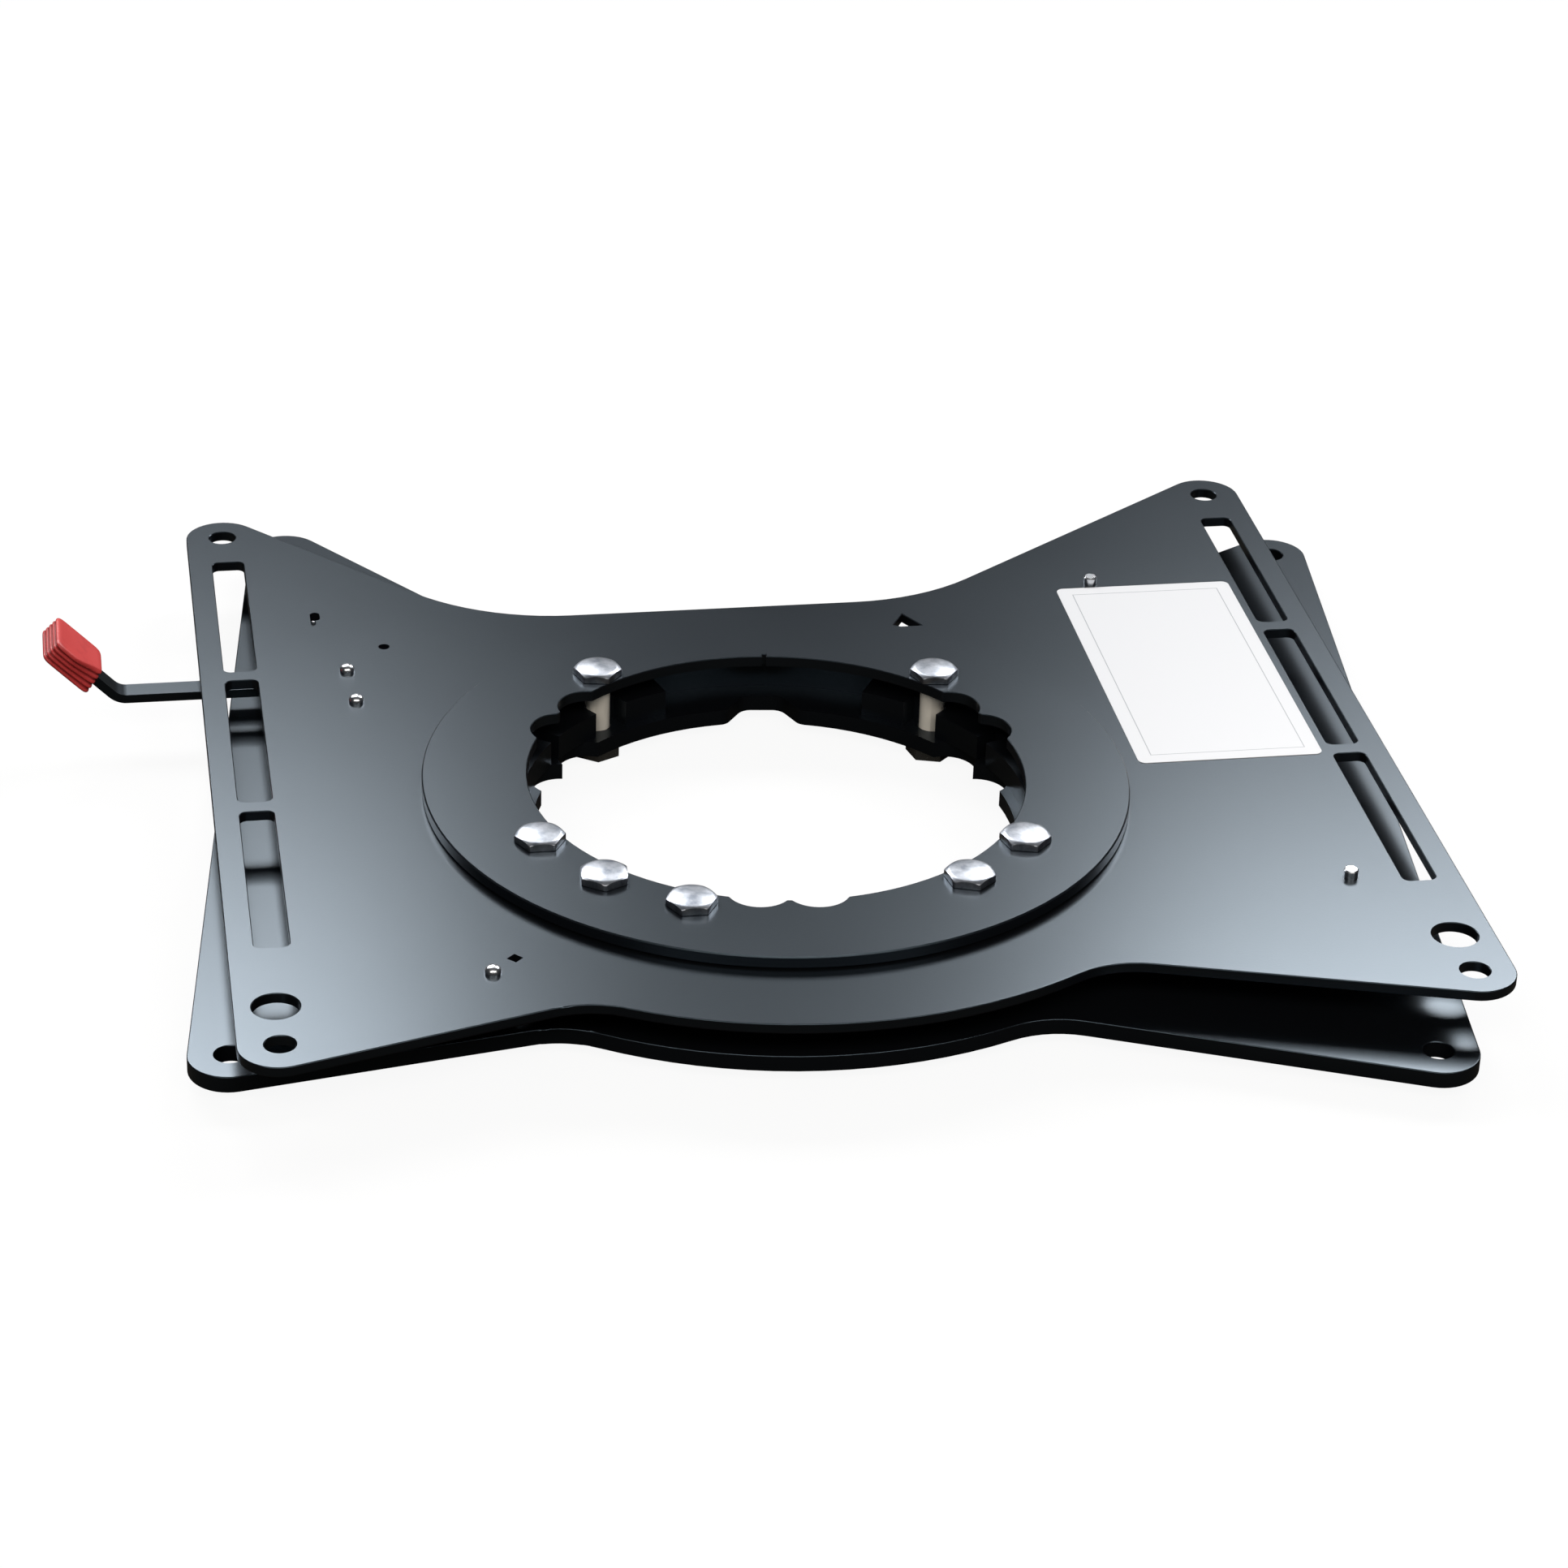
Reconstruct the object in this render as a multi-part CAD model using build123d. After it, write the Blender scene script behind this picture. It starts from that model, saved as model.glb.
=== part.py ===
from build123d import *
from math import atan2, cos, degrees, hypot, radians, sin, tan
import os

# Swivel seat base, in millimetres.
# Underside of the lower plate is z = 0, the seat is above, +Y is towards the back.
# The origin is the middle of the four base bolt holes.
os.makedirs("parts", exist_ok=True)

# Clearances
sheet_gap = 0.3            # between faces that slide past each other
bearing_gap = 0.3          # radial, hub ring in the top plate
bolt_gap = 0.25            # radial, bolt shank in its hole
thread_gap = 0.05          # radial, nut on its bolt
pivot_gap = 0.05           # radial, lever on its bush
rivet_gap = 0.05           # radial, rivets and studs in their holes
tooth_gap = 0.4            # each side of the lock tooth in its notch

# Both plates
hole_pitch_x = 426.4       # bolt holes, side to side
hole_pitch_y = 397.2       # bolt holes, front to back
pivot_to_left = 198.6      # swivel axis to the left holes
pivot_to_front = 161.7     # swivel axis to the front holes
corner_radius = 15.0       # round the bolt holes
hole_radius = 5.6          # bolt holes
back_left_angle = 47.0     # slope of the back left wing
back_right_angle = 36.3    # slope of the back right wing
front_angle = 16.0         # slope of both front wings
back_edge = 149.3          # swivel axis to the straight back edge
back_fillet = 85.0         # between back edge and wings
waist_fillet = 35.0        # between front bulge and wings
edge_round = 0.5           # laser-cut edge under powder coat
hole_chamfer = 0.3         # cut-outs' edges

# Lower plate
lower_thickness = 6.5
lower_bulge_radius = 164.5
lower_bore_step = 2.2      # lower plate's bore, inside the clamp ring's

# Top plate
top_thickness = 4.0
top_bulge_radius = 171.0
rest_turn = 6.3            # how far the photo shows it turned on the lower plate
slot_length = 98.5
slot_width = 13.0
slot_web = 7.25            # metal left between two slots
slot_corner = 3.0
slot_inset = 16.1          # plate side edge to slot middle
slot_share = 0.633         # share of the free length that is left in front of the slots
access_radius = 8.6        # larger holes near the front corners
access_offset = 24.5       # back from the front bolt holes

# Ring stack on the swivel axis
ring_outer_radius = 135.0
ring_width = 39.8          # clamp ring, bore to outside
ring_thickness = 4.4
slide_thickness = 0.6      # upper slide ring
slide_inset = 1.5          # slide rings stay back from the clamp ring's edge
index_thickness = 10.2
index_bore_step = 1.8      # index ring's bore, outside the clamp ring's
index_inset = 1.0          # index ring stays back from the clamp ring's edge
hub_wall = 7.2
hub_inset = 6.3            # hub's bore, outside the bolt circle
gap_height = 13.4          # between the two plates

# Scallops in the bores, three pairs
scallop_radius = 12.0
scallop_inset = 6.5        # scallops' middles, inside the clamp ring's bore
scallop_half_angle = 6.9
scallop_first_angle = 30.0
scallop_round = 0.9
zero_mark_length = 4.0
zero_mark_width = 1.6
cable_notch_width = 32.6
cable_notch_depth = 11.0
cable_notch_floor = 15.4
cable_notch_round = 6.0    # inside corners
cable_notch_ease = 5.0     # where it meets the bore

# Ring bolts
bolt_inset = 9.0           # bolt circle, outside the clamp ring's bore
bolt_radius = 5.0
bolt_flats = 17.0
bolt_head_height = 4.0
bolt_face_radius = 8.0     # flat of the head inside its chamfer
bolt_point = 1.0
bolt_tail = 0.5            # thread past the nut
bolt_angles = (50, 130, 210, 230, 250, 310, 330)
washer_radius = 10.0
washer_thickness = 1.0
nut_height = 4.5
pocket_radius = 5.8        # holes in the index ring, round the bolts
back_bolts = ((50, 1), (130, -1))  # these two holes open into the bore, on the side given
mouth_width = 15.6
mouth_offset = 0.8         # mouth's middle beside its bolt, towards the back
rib_slot_depth = 9.0
rib_slot_width = 6.0       # narrow pockets at the scallops
cut_back_depth = 16.0      # plain stretch at the back, outside the index ring's bore
cut_back_half_angle = 24.0 # plain stretch of the index ring at the back

# Lever and its parts, in the top plate's own frame about the swivel axis
lever_pivot_x = -155.4
lever_inset = 24.5         # pivot, inside the index ring's rim
keeper_rivet_x = -153.7
keeper_rivet_step = 26.0   # in front of the pivot
lever_thickness = 3.6
lever_width = 9.2
lever_offset = 8.0         # bar centre line behind its pivot
lever_bend_x = -242.5
lever_bend_radius = 8.0
lever_bend_angle = 46.0
tooth_drop = 10.0          # bar's centre line to the rim at the tooth
lever_tip_length = 6.0     # bar past the tooth's middle
lever_boss_radius = 9.5
lever_tip_round = 1.4
tooth_width = 9.0
tooth_depth = 6.0          # into the notch when locked
grip_length = 24.0
grip_width = 25.0
grip_thickness = 9.4
grip_socket = 14.0         # bar inside the grip
grip_stand_off = 9.3       # bar between bend and grip
grip_offset = 1.0          # grip sits this far behind the bar's centre line
grip_grooves = 4
grip_groove = 0.8
grip_corner = 2.2
grip_edge = 0.9
keeper_thickness = 4.0
keeper_width = 20.0
bush_radius = 4.0
bush_flange_radius = 8.0
sleeve_radius = 5.5
rivet_radius = 2.8
rivet_head_radius = 3.1
rivet_head_height = 3.0
rivet_tail_radius = 4.2
rivet_tail_height = 1.2

# Return spring
spring_wire = 0.6          # radius
spring_radius = 3.6
spring_lead = 3.0          # straight wire at each end of the coil
hook_bend = 1.2
coil_extra_wall = 0.2
spring_hole_x = -172.0
spring_hole_radius = 3.0
spring_hook_x = -165.9
spring_reach = 34.4        # bar's centre line to the hook in the top plate
keyhole_radius = 2.0
keyhole_stretch = 3.2       # big end, between its two round ends
keyhole_offset = 1.0        # big end beside the narrow end
keyhole_length = 6.6
keyhole_slot = 2.0

# Small features of the top plate
stud_radius = 2.75
stud_height = 3.4
stud_flange_radius = 6.0
stud_flange_height = 2.5
back_stud_x = 158.6
back_stud_y = 155.7
front_stud_x = 201.2
front_stud_y = -92.5
plain_rivet_x = -121.4
plain_rivet_y = -124.0
spare_hole_x = -139.1
spare_hole_y = 129.1
spare_hole_radius = 2.3
square_hole_x = -112.6
square_hole_y = -114.9
square_hole_side = 4.2
arrow_x = 74.8
arrow_y = 129.0
arrow_side = 12.8
label_width = 73.7
label_height = 150.8
label_thickness = 0.25
label_left_x = 142.9
label_back_y = 151.4
label_corner = 3.0

# Radii that follow from the clamp ring's
ring_bore_radius = ring_outer_radius - ring_width
bolt_pitch_radius = ring_bore_radius + bolt_inset
lower_bore_radius = ring_bore_radius - lower_bore_step
scallop_pitch_radius = ring_bore_radius - scallop_inset
index_bore_radius = ring_bore_radius + index_bore_step
index_rim_radius = ring_outer_radius - index_inset
cut_back_radius = index_bore_radius + cut_back_depth
hub_bore_radius = bolt_pitch_radius + hub_inset

# Lever's places that follow from the index ring's rim
lever_pivot_y = index_rim_radius - lever_inset
keeper_rivet_y = lever_pivot_y - keeper_rivet_step
bar_y = lever_pivot_y + lever_offset
tooth_x = -((index_rim_radius ** 2 - (bar_y - tooth_drop) ** 2) ** 0.5)
lever_tip_x = tooth_x + lever_tip_length
spring_hook_y = bar_y + spring_reach
label_front_y = label_back_y - label_height

# Heights that follow from the stack
lower_top = lower_thickness
top_bottom = lower_top + gap_height
top_top = top_bottom + top_thickness
upper_slide_bottom = top_top + sheet_gap
ring_bottom = upper_slide_bottom + slide_thickness
ring_top = ring_bottom + ring_thickness
index_top = lower_top + index_thickness
lower_slide_top = top_bottom - sheet_gap
hub_outer_radius = hub_bore_radius + hub_wall
top_bore_radius = hub_outer_radius + bearing_gap
slide_outer_radius = ring_outer_radius - slide_inset
rivet_tail_bottom = lower_top + 2 * sheet_gap
keeper_bottom = rivet_tail_bottom + rivet_tail_height
keeper_top = keeper_bottom + keeper_thickness
lever_bottom = keeper_top + sheet_gap
lever_top = lever_bottom + lever_thickness
flange_bottom = lever_top + sheet_gap

# Bolt holes about the swivel axis
left_x = -pivot_to_left
right_x = hole_pitch_x - pivot_to_left
front_y = -pivot_to_front
back_y = hole_pitch_y - pivot_to_front
left_side = left_x - corner_radius
right_side = right_x + corner_radius
middle_x = (left_x + right_x) / 2
middle_y = (front_y + back_y) / 2


def meet(x1, y1, angle1, x2, y2, angle2):
    """Point where two lines meet, each given by a point and its direction in degrees."""
    ax, ay = cos(radians(angle1)), sin(radians(angle1))
    bx, by = cos(radians(angle2)), sin(radians(angle2))
    t = ((x2 - x1) * by - (y2 - y1) * bx) / (ax * by - ay * bx)
    return (x1 + t * ax, y1 + t * ay)


def beside(x, y, angle):
    """Point on the corner circle round (x, y), towards the given direction."""
    return (x + corner_radius * cos(radians(angle)), y + corner_radius * sin(radians(angle)))


def plate_outline(bulge_radius):
    """Butterfly outline that both plates share: four wings, straight back, round front."""
    ax, ay = beside(left_x, back_y, 90 - back_left_angle)
    bx, by = beside(right_x, back_y, 90 + back_right_angle)
    cx, cy = beside(right_x, front_y, 270 - front_angle)
    dx, dy = beside(left_x, front_y, 270 + front_angle)
    back_left = meet(ax, ay, -back_left_angle, 0, back_edge, 0)
    back_right = meet(bx, by, back_right_angle, 0, back_edge, 0)
    corners = [
        meet(left_side, 0, 90, ax, ay, -back_left_angle),
        back_left,
        back_right,
        meet(right_side, 0, 90, bx, by, back_right_angle),
        meet(right_side, 0, 90, cx, cy, -front_angle),
        meet(cx, cy, -front_angle, dx, dy, front_angle),
        meet(left_side, 0, 90, dx, dy, front_angle),
    ]
    wings = make_face(Polyline(*corners, close=True))
    wings = fillet([v for v in wings.vertices() if abs(v.X) > ring_outer_radius], corner_radius)
    bends = [v for v in wings.vertices() if abs(v.Y - back_edge) < 0.01 and abs(v.X) < ring_outer_radius]
    wings = fillet(bends, back_fillet)
    front_half = Pos(0, -bulge_radius / 2) * Rectangle(2 * bulge_radius, bulge_radius)
    outline = wings + (Circle(bulge_radius) & front_half)
    waist = [v for v in outline.vertices() if abs(hypot(v.X, v.Y) - bulge_radius) < 0.01 and v.Y < -50]
    return fillet(waist, waist_fillet)


def soften(solid, size):
    """Round the outer edges of a flat plate at its top and bottom faces."""
    low, high = solid.bounding_box().min.Z, solid.bounding_box().max.Z
    rims = []
    for face in solid.faces().filter_by(Plane.XY):
        if abs(face.center().Z - low) < 0.001 or abs(face.center().Z - high) < 0.001:
            rims += face.outer_wire().edges()
    return fillet(rims, size)


def around(radius, angle):
    """Place on the swivel axis circle, turned to face outwards."""
    return Rot(0, 0, angle) * Pos(radius, 0)


def scallops():
    """Three pairs of round scallops in a bore edge."""
    sketch = Sketch()
    for pair in range(3):
        for side in (-1, 1):
            angle = scallop_first_angle + 120 * pair + side * scallop_half_angle
            sketch += around(scallop_pitch_radius, angle) * Circle(scallop_radius)
    return sketch


def bolt_holes(radius):
    """Round holes on the ring bolt circle."""
    sketch = Sketch()
    for angle in bolt_angles:
        sketch += around(bolt_pitch_radius, angle) * Circle(radius)
    return sketch


def ease(solid, level, size, shortest, longest):
    """Chamfer the cut-outs in the flat face at one height whose rims are between two lengths."""
    rims = []
    for face in solid.faces().filter_by(Plane.XY):
        if abs(face.center().Z - level) < 0.001:
            for wire in face.inner_wires():
                if shortest < wire.length < longest:
                    rims += wire.edges()
    return chamfer(rims, size)


def raise_up(sketch, bottom, top):
    """Extrude a sketch from one height to another."""
    return extrude(Pos(0, 0, bottom) * sketch, amount=top - bottom)


def corner_holes(radius):
    """The four bolt holes at the plate corners."""
    sketch = Sketch()
    for x in (left_x, right_x):
        for y in (front_y, back_y):
            sketch += Pos(x, y) * Circle(radius)
    return sketch


def rivet(x, y, bottom, top, tail_radius):
    """Rivet with a domed end above the top plate and a flat tail below."""
    shank = Pos(x, y) * raise_up(Circle(rivet_radius), bottom, top)
    tail = Pos(x, y) * raise_up(Circle(tail_radius), bottom - rivet_tail_height, bottom)
    dome = Pos(x, y) * raise_up(Circle(rivet_head_radius), top, top + rivet_head_height)
    dome = fillet(dome.faces().sort_by(Axis.Z)[-1].edges(), rivet_head_height * 0.8)
    return shank + tail + dome


def stud(x, y):
    """Headed stud through the top plate, its plain end standing above it."""
    pin = Pos(x, y) * raise_up(Circle(stud_radius), top_bottom, top_top + stud_height)
    pin = chamfer(pin.faces().sort_by(Axis.Z)[-1].edges(), 0.5)
    flange = Pos(x, y) * raise_up(Circle(stud_flange_radius), top_bottom - stud_flange_height, top_bottom)
    return pin + flange


# Lower plate, bolted to the seat box
scallop_set = scallops()
shoulder = lower_bore_radius - 4
notch_top = lower_bore_radius + cable_notch_depth
cable_notch = make_face(Polyline(
    (-cable_notch_width / 2, shoulder),
    (-cable_notch_floor / 2, notch_top),
    (cable_notch_floor / 2, notch_top),
    (cable_notch_width / 2, shoulder),
    close=True,
))
cable_notch = fillet([v for v in cable_notch.vertices() if v.Y > notch_top - 1], cable_notch_round)
lower_bore = Circle(lower_bore_radius) + cable_notch
notch_feet = [v for v in lower_bore.vertices() if 8 < abs(v.X) < cable_notch_width and v.Y > shoulder]
notch_feet = [v for v in notch_feet if abs(hypot(v.X, v.Y) - lower_bore_radius) < 0.01]
lower_bore = fillet(notch_feet, cable_notch_ease)
bolt_clear = bolt_holes(bolt_radius + bolt_gap)
lower_cut = lower_bore + scallop_set + bolt_clear + corner_holes(hole_radius)
lower_plate = soften(raise_up(plate_outline(lower_bulge_radius), 0, lower_top), edge_round)
lower_plate -= raise_up(lower_cut, -1, lower_top + 1)
hole_rim = 2 * 3.14 * hole_radius
lower_plate = ease(lower_plate, lower_top, hole_chamfer, hole_rim * 0.9, hole_rim * 1.1)

# Index ring: spacer with holes round the bolts and two notches for the lock tooth
pockets = bolt_holes(pocket_radius)
mouth_reach = 2 * (bolt_pitch_radius - index_bore_radius)
for angle, side in back_bolts:
    mouth = Pos(0, side * mouth_offset) * Rectangle(mouth_reach, mouth_width)
    pockets += around(index_bore_radius, angle) * mouth
for pair in range(3):
    pair_angle = scallop_first_angle + 120 * pair
    pockets += around(index_bore_radius, pair_angle) * Rectangle(2 * rib_slot_depth, rib_slot_width)
wedge_reach = 2 * index_rim_radius
wedge_half = wedge_reach * tan(radians(cut_back_half_angle))
back_wedge = make_face(Polyline((0, 0), (-wedge_half, wedge_reach), (wedge_half, wedge_reach), close=True))
cut_back = back_wedge & Circle(cut_back_radius)
notch_floor = Circle(index_rim_radius - tooth_depth - tooth_gap)
notch_width = tooth_width + 2 * tooth_gap
lock_notch = Pos(tooth_x, index_rim_radius) * Rectangle(notch_width, 2 * index_rim_radius) - notch_floor
lock_notches = lock_notch + Rot(0, 0, 180) * lock_notch
index_sketch = Circle(index_rim_radius) - Circle(index_bore_radius) - pockets - cut_back - lock_notches
index_ring = raise_up(index_sketch, lower_top, index_top)

# Hub ring: the top plate turns on it
hub_ring = raise_up(Circle(hub_outer_radius) - Circle(hub_bore_radius), index_top, ring_bottom)

# Plastic slide rings under and over the top plate
slide_sketch = Circle(slide_outer_radius) - Circle(top_bore_radius)
lower_slide_ring = raise_up(slide_sketch, index_top, lower_slide_top)
upper_slide_ring = raise_up(slide_sketch, upper_slide_bottom, ring_bottom)

# Clamp ring with its scalloped bore and the zero mark at the back
clamp_disc = raise_up(Circle(ring_outer_radius), ring_bottom, ring_top)
clamp_disc = chamfer(clamp_disc.faces().sort_by(Axis.Z)[-1].edges(), edge_round)
zero_mark = around(ring_bore_radius, 90) * Rectangle(zero_mark_length, zero_mark_width)
clamp_bore = Circle(ring_bore_radius) + scallop_set
clamp_bore = fillet(clamp_bore.vertices().filter_by(lambda v: hypot(v.X, v.Y) > 1), scallop_round)
clamp_cut = clamp_bore + zero_mark + bolt_clear
clamp_ring = clamp_disc - raise_up(clamp_cut, ring_bottom - 1, ring_top + 1)
bore_rim = 2 * 3.14 * ring_bore_radius
clamp_ring = ease(clamp_ring, ring_top, hole_chamfer, bore_rim * 0.9, bore_rim * 1.3)

# Ring bolts with their washers and nuts
washer_bottom = -washer_thickness
nut_bottom = washer_bottom - nut_height
head_top = ring_top + bolt_head_height
head_spread = bolt_head_height / tan(radians(30))
hexagon = RegularPolygon(bolt_flats / 2, 6, major_radius=False)
hex_head = raise_up(hexagon, ring_top, head_top)
head_cone = Cone(bolt_face_radius + head_spread, bolt_face_radius, bolt_head_height)
hex_head &= Pos(0, 0, ring_top + bolt_head_height / 2) * head_cone
shank = raise_up(Circle(bolt_radius), nut_bottom - bolt_tail, ring_top)
shank = chamfer(shank.faces().sort_by(Axis.Z)[0].edges(), bolt_point)
ring_bolt = hex_head + shank
washer = raise_up(Circle(washer_radius) - Circle(bolt_radius + bolt_gap), washer_bottom, 0)
ring_nut = raise_up(hexagon - Circle(bolt_radius + thread_gap), nut_bottom, washer_bottom)
bolt_spots = [around(bolt_pitch_radius, angle) for angle in bolt_angles]
ring_bolts = [spot * Rot(0, 0, 17 * i) * ring_bolt for i, spot in enumerate(bolt_spots)]
ring_washers = [spot * washer for spot in bolt_spots]
ring_nuts = [spot * Rot(0, 0, 23 * i) * ring_nut for i, spot in enumerate(bolt_spots)]

# Top plate, drawn straight about the swivel axis
slot_pitch = slot_length + slot_web
slot_span = slot_length + 2 * slot_pitch
slot_room_front = front_y + access_offset + access_radius
slot_room_back = back_y - hole_radius
slot_free = slot_room_back - slot_room_front - slot_span
slot_middle = slot_room_front + slot_share * slot_free + slot_span / 2
slots = Sketch()
for x in (left_side + slot_inset, right_side - slot_inset):
    for row in (-1, 0, 1):
        slots += Pos(x, slot_middle + row * slot_pitch) * RectangleRounded(slot_width, slot_length, slot_corner)
access_holes = Sketch()
for x in (left_x, right_x):
    access_holes += Pos(x, front_y + access_offset) * Circle(access_radius)
keyhole_top = spring_hook_y + keyhole_length
keyhole = SlotCenterToCenter(keyhole_stretch, 2 * keyhole_radius, rotation=90)
keyhole = Pos(spring_hook_x + keyhole_offset, keyhole_top) * keyhole
keyhole_tail = SlotCenterToCenter(keyhole_length, keyhole_slot, rotation=90)
keyhole += Pos(spring_hook_x, spring_hook_y + keyhole_length / 2) * keyhole_tail
spare_hole = Pos(spare_hole_x, spare_hole_y) * Circle(spare_hole_radius)
square_hole = Pos(square_hole_x, square_hole_y) * Rot(0, 0, 45) * Rectangle(square_hole_side, square_hole_side)
arrow_hole = Pos(arrow_x, arrow_y) * RegularPolygon(arrow_side / 3 ** 0.5, 3, rotation=90)
pin_holes = Sketch()
for x, y in (
    (lever_pivot_x, lever_pivot_y),
    (keeper_rivet_x, keeper_rivet_y),
    (plain_rivet_x, plain_rivet_y),
):
    pin_holes += Pos(x, y) * Circle(rivet_radius + rivet_gap)
for x, y in ((back_stud_x, back_stud_y), (front_stud_x, front_stud_y)):
    pin_holes += Pos(x, y) * Circle(stud_radius + rivet_gap)
top_cut = Circle(top_bore_radius) + slots + access_holes + corner_holes(hole_radius)
top_cut += keyhole + spare_hole + square_hole + arrow_hole + pin_holes
top_plate = soften(raise_up(plate_outline(top_bulge_radius), top_bottom, top_top), edge_round)
top_plate -= raise_up(top_cut, top_bottom - 1, top_top + 1)
slot_rim = 2 * (slot_length + slot_width)
top_plate = ease(top_plate, top_top, hole_chamfer, hole_rim * 0.9, slot_rim * 1.1)

# Bare label, stuck on the top plate
label_sheet = RectangleRounded(label_width, label_height, label_corner)
label_sheet = Pos(label_left_x + label_width / 2, label_front_y + label_height / 2) * label_sheet
label = raise_up(label_sheet, top_top, top_top + label_thickness)

# Rivets and studs of the top plate
pivot_rivet = rivet(lever_pivot_x, lever_pivot_y, keeper_bottom, top_top, rivet_tail_radius)
keeper_rivet = rivet(keeper_rivet_x, keeper_rivet_y, keeper_bottom, top_top, rivet_tail_radius)
plain_rivet = rivet(plain_rivet_x, plain_rivet_y, top_bottom, top_top, rivet_tail_radius)
back_stud = stud(back_stud_x, back_stud_y)
front_stud = stud(front_stud_x, front_stud_y)

# Keeper plate under the lever, with its bush and sleeve
keeper_span = hypot(keeper_rivet_x - lever_pivot_x, keeper_rivet_y - lever_pivot_y)
keeper_turn = degrees(atan2(keeper_rivet_y - lever_pivot_y, keeper_rivet_x - lever_pivot_x))
keeper_sketch = SlotCenterToCenter(keeper_span, keeper_width)
for end in (-1, 1):
    keeper_sketch -= Pos(end * keeper_span / 2, 0) * Circle(rivet_radius + rivet_gap)
keeper_spot = Pos((lever_pivot_x + keeper_rivet_x) / 2, (lever_pivot_y + keeper_rivet_y) / 2)
lever_keeper = raise_up(keeper_spot * Rot(0, 0, keeper_turn) * keeper_sketch, keeper_bottom, keeper_top)
bush = raise_up(Circle(bush_radius), keeper_top, flange_bottom)
bush += raise_up(Circle(bush_flange_radius), flange_bottom, top_bottom)
bush -= raise_up(Circle(rivet_radius + rivet_gap), keeper_top, top_bottom)
pivot_bush = Pos(lever_pivot_x, lever_pivot_y) * bush
sleeve = raise_up(Circle(sleeve_radius) - Circle(rivet_radius + rivet_gap), keeper_top, top_bottom)
keeper_sleeve = Pos(keeper_rivet_x, keeper_rivet_y) * sleeve

# Lever: straight bar with the lock tooth inside and a cranked end for the grip
bar_sketch = Pos((lever_tip_x + lever_bend_x) / 2, bar_y) * Rectangle(lever_tip_x - lever_bend_x, lever_width)
bar_sketch += Pos(lever_pivot_x, lever_pivot_y) * Circle(lever_boss_radius)
tooth_reach = bar_y - index_rim_radius / 2
bar_sketch += Pos(tooth_x, bar_y - tooth_reach / 2) * Rectangle(tooth_width, tooth_reach)
bar_sketch -= Circle(index_rim_radius + sheet_gap)
tip_corners = [v for v in bar_sketch.vertices() if abs(v.X - lever_tip_x) < 0.01]
bar_sketch = fillet(tip_corners, lever_tip_round)
bar_sketch -= Pos(lever_pivot_x, lever_pivot_y) * Circle(bush_radius + pivot_gap)
bar_sketch -= Pos(spring_hole_x, bar_y) * Circle(spring_hole_radius)
bar_z = (lever_bottom + lever_top) / 2
bend = radians(lever_bend_angle)
bend_end_x = lever_bend_x - lever_bend_radius * sin(bend)
bend_end_z = bar_z + lever_bend_radius * (1 - cos(bend))
bend_half_x = lever_bend_x - lever_bend_radius * sin(bend / 2)
bend_half_z = bar_z + lever_bend_radius * (1 - cos(bend / 2))
crank_run = grip_stand_off + grip_socket
crank_end_x = bend_end_x - crank_run * cos(bend)
crank_end_z = bend_end_z + crank_run * sin(bend)
side_plane = Plane((0, bar_y, 0), x_dir=(1, 0, 0), z_dir=(0, -1, 0))
crank_arc = ThreePointArc((lever_bend_x, bar_z), (bend_half_x, bend_half_z), (bend_end_x, bend_end_z))
crank_line = Line((bend_end_x, bend_end_z), (crank_end_x, crank_end_z))
crank_path = side_plane * (crank_arc + crank_line)
crank_start = Plane((lever_bend_x, bar_y, bar_z), x_dir=(0, 1, 0), z_dir=(-1, 0, 0))
crank = sweep(crank_start * Rectangle(lever_width, lever_thickness), path=crank_path)
lever = raise_up(bar_sketch, lever_bottom, lever_top) + crank

# Grip: rounded block with grooves round its sides, on the lever's end
grip_block = Box(grip_length, grip_width, grip_thickness)
grip_block = fillet(grip_block.edges().filter_by(Axis.Z), grip_corner)
grip_block = fillet(grip_block.faces().sort_by(Axis.Z)[-1].edges(), grip_edge)
grip_block = fillet(grip_block.faces().sort_by(Axis.Z)[0].edges(), grip_edge)
grip_core = RectangleRounded(grip_length - 2 * grip_groove, grip_width - 2 * grip_groove, grip_corner - grip_groove)
groove_band = Rectangle(grip_length + 2, grip_width + 2) - grip_core
groove_pitch = grip_thickness / (grip_grooves + 1)
for i in range(grip_grooves):
    level = (i + 0.5 - grip_grooves / 2) * groove_pitch
    grip_block -= raise_up(groove_band, level - grip_groove / 2, level + grip_groove / 2)
grip_hole = Box(grip_socket, lever_width, lever_thickness)
grip_block -= Pos((grip_length - grip_socket) / 2, -grip_offset, 0) * grip_hole
grip_spot = Pos(crank_end_x, bar_y + grip_offset, crank_end_z) * Rot(0, lever_bend_angle, 0)
lever_grip = grip_spot * Pos(grip_socket - grip_length / 2, 0, 0) * grip_block

# Return spring: close-wound coil with a hook in the lever and one in the keyhole
spring_dx = spring_hook_x - spring_hole_x
spring_dy = spring_hook_y - bar_y
spring_span = hypot(spring_dx, spring_dy)
spring_turn = degrees(atan2(spring_dy, spring_dx))
coil_start = lever_width / 2 + spring_lead
coil_end = spring_span - spring_lead
coil_bore_radius = spring_radius - 2 * spring_wire - coil_extra_wall
hook_level = (spring_radius + coil_bore_radius) / 2
ridge_start = coil_start + 2 * spring_wire
ridge_length = coil_end - 2 * spring_wire - ridge_start
coil_count = round(ridge_length / (2 * spring_wire))
coil_pitch = ridge_length / coil_count
profile = [(coil_start, coil_bore_radius), (coil_start, spring_radius)]
for i in range(coil_count):
    profile.append((ridge_start + i * coil_pitch, spring_radius))
    profile.append((ridge_start + (i + 0.5) * coil_pitch, spring_radius - spring_wire / 2))
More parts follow.
